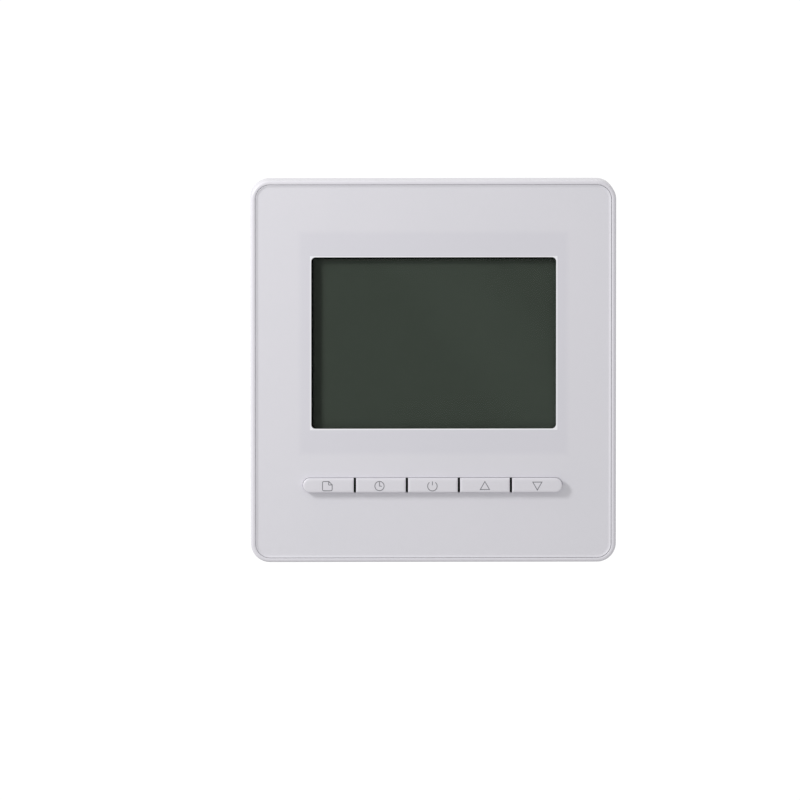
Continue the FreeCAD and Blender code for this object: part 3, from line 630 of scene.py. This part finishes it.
base_white = moulded("base_plastic", srgb(222, 222, 224), 0.5, 1500.0, 0.000006)
dressed("mounting_plate", base_white, "wall_base", 0.15)
dressed("snap_fingers", base_white, "wall_base", 0.08)
dressed("rear_box", base_white, "wall_base", 0.2, 3)
terminal_green = moulded("terminal_plastic", srgb(46, 128, 74), 0.45, 1500.0, 0.000005)
dressed("terminal_block", terminal_green, "wall_base", 0.12)
zinc = moulded("zinc_steel", srgb(186, 188, 190), 0.28, 900.0, 0.000002, 0.1, 1.0)
for k in range(1, 7):
    dressed("terminal_screw_%d" % k, zinc, "screw_%d" % k, 0.06)
    dressed("clamp_cage_%d" % k, zinc, "clamp_%d" % k, 0.1)
for node in ("box_screws", "supply_board_screws"):
    dressed(node, zinc, "wall_base", 0.06)
dressed("board_screws", zinc, "front_panel", 0.06)
paint("contact_bars", moulded("tinned_brass", srgb(200, 190, 160), 0.3, 900.0, 0.000002, 0.08, 1.0))

# ---------------------------------------------------------------------------
# Type label: a plain paper sticker on the left side wall of the box, ruled like a small table,
# with nothing written in it.

LABEL_Y = (4.0, 24.0)
LABEL_Z = (-13.0, 13.0)
LABEL_X = (-24.99, -25.07)
# the ruled table on it, in metres
RULE_PITCH = 0.0046
TABLE_Y = 0.014
TABLE_HALF_Y = 0.0085
TABLE_HALF_Z = 0.0115
bm = bmesh.new()
shape = outline(*LABEL_Y, *LABEL_Z, (1.2,) * 4, 0.0, 6)
rows = [[bm.verts.new((x, y, z)) for y, z in shape] for x in LABEL_X]
loft(bm, rows)
cover(bm, rows[0])
cover(bm, rows[1])
label = to_object("type_label", bm)
mat, shader, place, (px, py, pz) = begin("label_paper")
line = (pz + TABLE_HALF_Z) / RULE_PITCH
rules = 1.0 - abs(line - line.floor() - 0.5).step(0.03, 0.05)
tall = abs(pz) - TABLE_HALF_Z
deep = abs(py - TABLE_Y) - TABLE_HALF_Y
inside = (1.0 - tall.step(-0.0001, 0.0001)) * (1.0 - deep.step(-0.0001, 0.0001))
frame_line = inside * tall.step(-0.0005, -0.0003).over(deep.step(-0.0005, -0.0003))
column = 1.0 - abs(py - 0.011).step(0.00012, 0.0002)
marks = (rules.over(column) * inside).over(frame_line)
(marks * 0.8).tint(srgb(224, 224, 220), srgb(112, 112, 116)).feed(shader, "Base Color")
(place.noise(1500.0) * 0.1 + 0.5).feed(shader, "Roughness")
place_piece(label, mat, "wall_base")

# ---------------------------------------------------------------------------
# Circuit boards: a green display board behind the keys and a tan supply board in the box, both
# of glass fibre, with copper tracks under the lacquer.


def circuit(name, dark, light, pitch):
    """Lacquered board: every square of the grid carries a straight or a turning track."""
    mat, shader, place, (px, py, pz) = begin(name)
    u = px / pitch
    v = pz / pitch
    cell = u.add("ShaderNodeCombineXYZ", {}, {0: u.floor(), 1: v.floor()})
    chance = u.add("ShaderNodeTexWhiteNoise", {"noise_dimensions": "2D"}, {"Vector": cell})
    turn = chance.step(0.3, 0.301)
    side = chance.step(0.65, 0.651) * 2.0 - 1.0
    a = (u - u.floor() - 0.5) * side
    b = v - v.floor() - 0.5
    bent = abs(abs(a + b) - 0.5) * 0.707
    straight = abs(b).under(abs(a) + chance * 0.6)
    track = 1.0 - (turn * bent + (1.0 - turn) * straight).step(0.13, 0.17)
    shade = track * 0.7 + place.noise(300.0) * 0.3
    shade.tint(dark, light).feed(shader, "Base Color")
    (place.noise(2500.0) * 0.1 + 0.3).feed(shader, "Roughness")
    relief(shader, track, 0.00003)
    return mat


paint("display_board", circuit("board_green", srgb(18, 66, 38), srgb(52, 118, 66), 0.0012))
paint("supply_board", circuit("board_tan", srgb(150, 112, 58), srgb(196, 168, 108), 0.0021))


def joint_tree(name, facing):
    """Geometry nodes: one soldered joint on every point, a small cone with the cut lead in it."""
    tree = bpy.data.node_groups.new(name, "GeometryNodeTree")
    tree.interface.new_socket("Points", in_out="INPUT", socket_type="NodeSocketGeometry")
    tree.interface.new_socket("Joint Radius", in_out="INPUT", socket_type="NodeSocketFloat")
    tree.interface.new_socket("Joint Height", in_out="INPUT", socket_type="NodeSocketFloat")
    tree.interface.new_socket("Finish", in_out="INPUT", socket_type="NodeSocketMaterial")
    tree.interface.new_socket("Joints", in_out="OUTPUT", socket_type="NodeSocketGeometry")
    nodes = tree.nodes
    given = nodes.new("NodeGroupInput")
    size = Value(tree, given.outputs["Joint Radius"])
    tall = Value(tree, given.outputs["Joint Height"])
    shape = {"Vertices": 14, "Side Segments": 1, "Depth": tall}
    shape["Radius Top"] = size * 0.42
    shape["Radius Bottom"] = size
    cone = size.add("GeometryNodeMeshCone", {}, shape)
    lead = size.add("GeometryNodeMeshUVSphere", {}, {"Segments": 10, "Rings": 6, "Radius": size * 0.38})
    raised = size.add("ShaderNodeCombineXYZ", {}, {2: tall})
    lead = lead.add("GeometryNodeTransform", {}, {"Geometry": lead, "Translation": raised})
    both = nodes.new("GeometryNodeJoinGeometry")
    tree.links.new(lead.socket, both.inputs[0])
    tree.links.new(cone.socket, both.inputs[0])
    joined = Value(tree, both.outputs[0])
    quarter = (-facing * math.pi / 2, 0, 0)
    turned = size.add("GeometryNodeTransform", {}, {"Geometry": joined, "Rotation": quarter})
    points = Value(tree, given.outputs["Points"])
    dots = size.add("GeometryNodeMeshToPoints", {}, {"Mesh": points})
    copies = size.add("GeometryNodeInstanceOnPoints", {}, {"Points": dots, "Instance": turned})
    solid = size.add("GeometryNodeRealizeInstances", {}, {"Geometry": copies})
    finish = Value(tree, given.outputs["Finish"])
    painted = size.add("GeometryNodeSetMaterial", {}, {"Geometry": solid, "Material": finish})
    result = nodes.new("NodeGroupOutput")
    tree.links.new(painted.socket, result.inputs["Joints"])
    return tree


solder = moulded("solder_tin", srgb(196, 198, 200), 0.24, 1200.0, 0.000004, 0.08, 1.0)


def soldered(name, spots, y, facing, radius, height, body):
    """Soldered joints at the X-Z spots of a board's face."""
    mesh = bpy.data.meshes.new(name)
    mesh.from_pydata([(x * 0.001, y * 0.001, z * 0.001) for x, z in spots], [], [])
    obj = bpy.data.objects.new(name, mesh)
    bpy.context.scene.collection.objects.link(obj)
    tree = joint_tree(name + "_nodes", facing)
    nodes = obj.modifiers.new("joints", "NODES")
    nodes.node_group = tree
    sizes = {"Joint Radius": radius * 0.001, "Joint Height": height * 0.001, "Finish": solder}
    for item in tree.interface.items_tree:
        if item.name in sizes:
            nodes[item.identifier] = sizes[item.name]
    settle(obj, 40.0)
    return place_piece(obj, solder, body)


BOARD_BACK_Y = -4.5
SUPPLY_Y = 6.0
LAMP_X = 30.8
LAMP_Z = (-4.0, 7.0, 18.0)
CAN_X = (-18.6, -11.4)
CAN_Z = -8.6
POLES = 6
POLE_PITCH = 7.0
POLE_PIN_Z = -15.1
key_legs = []
for index in range(len(KEYS)):
    for sx in (-1, 1):
        for sz in (-1, 1):
            key_legs.append(((index - 2) * KEY_PITCH + sx * 3.25, KEY_Z + sz * 2.25))
lamp_legs = [(LAMP_X + s * 0.6, z) for z in LAMP_Z for s in (-1, 1)]
soldered("switch_joints", key_legs + lamp_legs, BOARD_BACK_Y, 1, 0.62, 0.4, "front_panel")

transformer_legs = [(x, z) for x in (-15.0, -1.0) for z in (-1.5, 3.5, 8.5, 13.5)]
relay_legs = [(5.2, 13.0), (17.4, 13.0), (5.2, 0.0), (17.4, 0.0), (11.3, -2.6)]
capacitor_legs = [(x + s * 1.25, CAN_Z) for x in CAN_X for s in (-1, 1)]
film_legs = [(-5.5, -9.0), (4.5, -9.0)]
disc_legs = [(x, CAN_Z) for x in (9.5, 13.5, 18.0, 20.4)]
terminal_legs = [((k - (POLES - 1) / 2.0) * POLE_PITCH, POLE_PIN_Z) for k in range(POLES)]
spots = transformer_legs + relay_legs + capacitor_legs + film_legs + disc_legs + terminal_legs
soldered("supply_joints", spots, SUPPLY_Y, -1, 0.85, 0.6, "wall_base")

# ---------------------------------------------------------------------------
# Board print: thin white outlines of the parts, printed on the lacquer of the display board.

CHIP_X = 9.0
CHIP_Z = 8.0
CHIP_FRAME_HALF = 6.7
BATTERY_X = -11.0
BATTERY_RING = 6.8
SWITCH_RING = 1.9
PRINT_LINE = 0.18
PRINT_BASE = BOARD_BACK_Y - 0.01
PRINT_TOP = BOARD_BACK_Y + 0.02
board_ink = moulded("board_ink", srgb(214, 218, 212), 0.5, 3000.0, 0.000001)
bm = bmesh.new()
half = CHIP_FRAME_HALF
chip_frame = (CHIP_X - half, CHIP_X + half, CHIP_Z - half, CHIP_Z + half)
crystal_frame = (-3.2, 4.2, -7.8, -4.2)
header_frame = (-10.9, 10.9, -22.9, -19.0)
for x0, x1, z0, z1 in (chip_frame, crystal_frame, header_frame):
    corners = [(x0, z0), (x1, z0), (x1, z1), (x0, z1)]
    ribbon(bm, corners, PRINT_LINE, True, PRINT_BASE, PRINT_TOP)
ribbon(bm, arc(BATTERY_X, CHIP_Z, BATTERY_RING, 0.0, 350.0, 35), PRINT_LINE, True, PRINT_BASE, PRINT_TOP)
for index in range(len(KEYS)):
    mid = (index - 2) * KEY_PITCH
    ribbon(bm, arc(mid, KEY_Z, SWITCH_RING, 0.0, 345.0, 23), PRINT_LINE, True, PRINT_BASE, PRINT_TOP)
print_obj = to_object("board_print", bm, 20.0)
place_piece(print_obj, board_ink, "front_panel")

# ---------------------------------------------------------------------------
# Parts on the boards: moulded chips, a coin cell, the laminated transformer with its taped
# coil, the sealed relay, sleeved capacitors, the film capacitor, the dipped disc and the fuse.

black = moulded("black_moulding", srgb(34, 34, 36), 0.5)
for node in ("link_header", "link_socket", "transformer_base", "voltage_regulator"):
    paint(node, black)
dressed("switch_housings", black, "front_panel", 0.15)
paint("air_sensor", moulded("bead_epoxy", srgb(40, 36, 34), 0.25))
gold = moulded("gold_pins", srgb(214, 176, 94), 0.25, 900.0, 0.000001, 0.05, 1.0)
paint("link_pins", gold)
nickel = moulded("nickel_steel", srgb(200, 200, 198), 0.22, 700.0, 0.000001, 0.06, 1.0)
dressed("clock_battery", nickel, "front_panel", 0.08)
paint("clock_crystal", nickel)
plunger_grey = moulded("plunger_grey", srgb(60, 60, 62), 0.5)
for word in KEYS:
    paint(word + "_switch_plunger", plunger_grey)

mat, shader, place, (px, py, pz) = begin("chip_case")
# tinned leads round a black case, told apart by their distance from the middle
edge = abs(px - CHIP_X * 0.001).over(abs(pz - CHIP_Z * 0.001)).step(0.00498, 0.00502)
edge.tint(srgb(32, 32, 34), srgb(190, 192, 194)).feed(shader, "Base Color")
edge.feed(shader, "Metallic")
(place.noise(2500.0) * 0.1 + 0.4 - edge * 0.15).feed(shader, "Roughness")
paint("microcontroller", mat)

mat, shader, place, _ = begin("chip_resistor")
shade = place.noise(900.0)
shade.tint(srgb(128, 104, 76), srgb(172, 150, 116)).feed(shader, "Base Color")
(shade * 0.1 + 0.42).feed(shader, "Roughness")
paint("chip_parts", mat)

mat, shader, place, (px, py, pz) = begin("core_iron")
# the core is a stack of thin varnished sheets
sheets = pz / 0.0005
groove = abs(sheets - sheets.floor() - 0.5).step(0.3, 0.48)
shade = groove * 0.8 + place.noise(400.0) * 0.2
shade.tint(srgb(104, 104, 110), srgb(44, 44, 48)).feed(shader, "Base Color")
(place.noise(1200.0) * 0.15 + 0.38).feed(shader, "Roughness")
shader.inputs["Metallic"].default_value = 0.7
relief(shader, 1.0 - groove, 0.00006)
dressed("transformer_core", mat, "wall_base", 0.06, 1)

mat, shader, place, (px, py, pz) = begin("winding_tape")
# overlapping turns of amber tape
turns = (pz + py * 0.1) / 0.0042
lap = (turns - turns.floor()).step(0.9, 1.0)
shade = lap * 0.6 + place.noise(200.0) * 0.4
shade.tint(srgb(222, 178, 40), srgb(176, 126, 22)).feed(shader, "Base Color")
(place.noise(900.0) * 0.1 + 0.24).feed(shader, "Roughness")
relief(shader, 1.0 - lap, 0.00008)
dressed("transformer_winding", mat, "wall_base", 0.3, 3)

mat, shader, place, (px, py, pz) = begin("capacitor_sleeve")
# black sleeves with a pale stripe down one side and a bare aluminium top
side_x = past(px, CAN_X[0], CAN_X[1])
side_z = pz - CAN_Z * 0.001
stripe = (1.0 - abs(side_x).step(0.00085, 0.0009)) * (1.0 - side_z.step(-0.0026, -0.0025))
reach = (side_x * side_x + side_z * side_z).root()
top = py.step(0.01955, 0.01957) * (1.0 - reach.step(0.00235, 0.0024))
shade = stripe.tint(srgb(30, 32, 44), srgb(168, 172, 178))
top.tint(shade, srgb(196, 198, 200)).feed(shader, "Base Color")
top.feed(shader, "Metallic")
(place.noise(900.0) * 0.1 + 0.24 + top * 0.08).feed(shader, "Roughness")
score = (1.0 - abs(side_x).under(abs(side_z)).step(0.00012, 0.0002)) * top
relief(shader, 1.0 - score, 0.0002)
dressed("smoothing_capacitors", mat, "wall_base", 0.15, 3)

dressed("relay", moulded("relay_blue", srgb(38, 74, 140), 0.35), "wall_base", 0.2, 3)
dressed("suppression_capacitor", moulded("film_yellow", srgb(226, 186, 46), 0.35), "wall_base", 0.2, 3)
dressed("varistor", moulded("dipped_blue", srgb(46, 96, 176), 0.3), "wall_base", 0.1, 2)
dressed("fuse_link", moulded("fuse_brown", srgb(96, 54, 36), 0.4), "wall_base", 0.1, 2)

# ---------------------------------------------------------------------------
# Studio: white surroundings, a soft lamp from the upper left and a pale floor well below. The
# camera stands far off, a little above and to the left of the middle.

world = bpy.data.worlds.new("studio")
bpy.context.scene.world = world
world.use_nodes = True
tree = world.node_tree
sky = tree.nodes["Background"]
sky.inputs["Color"].default_value = (1.0, 1.0, 1.0, 1.0)
heading = Value(tree, tree.nodes.new("ShaderNodeTexCoord").outputs["Generated"])
ahead = heading.add("ShaderNodeSeparateXYZ", {}, {0: heading}, 1)
seen = heading.add("ShaderNodeLightPath", {}, {})
AMBIENT = 0.6
BACKDROP = 0.25
SEEN_WHITE = 1.05
glow = ahead.step(-0.25, 0.3) * BACKDROP + AMBIENT
(seen * SEEN_WHITE + (1.0 - seen) * glow).feed(sky, "Strength")

LAMP_DISTANCE = 0.5
lamp = bpy.data.lights.new("key_lamp", "AREA")
lamp.shape = "ELLIPSE"
lamp.size = 0.09
lamp.size_y = 0.16
lamp.energy = 1.4
lamp_obj = bpy.data.objects.new("key_lamp", lamp)
bpy.context.scene.collection.objects.link(lamp_obj)
toward = Vector((-1.6, -1.0, 1.0)).normalized()
lamp_obj.location = toward * LAMP_DISTANCE
lamp_obj.rotation_euler = (-toward).to_track_quat("-Z", "Y").to_euler()

FLOOR_HALF = 8000.0
FLOOR_Z = -1300.0
bm = bmesh.new()
block(bm, -FLOOR_HALF, FLOOR_HALF, -FLOOR_HALF, FLOOR_HALF, FLOOR_Z - 10.0, FLOOR_Z)
floor = to_object("floor", bm)
floor.data.materials.append(moulded("pale_floor", srgb(236, 236, 236), 0.7))

CAMERA_DISTANCE = 3.0
cam = bpy.data.cameras.new("camera")
cam.lens = 573.5
cam.sensor_width = 36.0
cam.clip_start = 0.1
cam.clip_end = 20.0
cam.dof.use_dof = False
cam_obj = bpy.data.objects.new("camera", cam)
bpy.context.scene.collection.objects.link(cam_obj)
azimuth = math.radians(-1.0)
elevation = math.radians(4.2)
aim = Vector((-0.0079, -0.013, -0.0067))
flat = math.cos(elevation)
away = Vector((math.sin(azimuth) * flat, -math.cos(azimuth) * flat, math.sin(elevation)))
cam_obj.location = aim + away * CAMERA_DISTANCE
cam_obj.rotation_euler = (-away).to_track_quat("-Z", "Y").to_euler()
bpy.context.scene.camera = cam_obj
bpy.context.scene.view_settings.view_transform = "Standard"
bpy.context.scene.view_settings.look = "None"
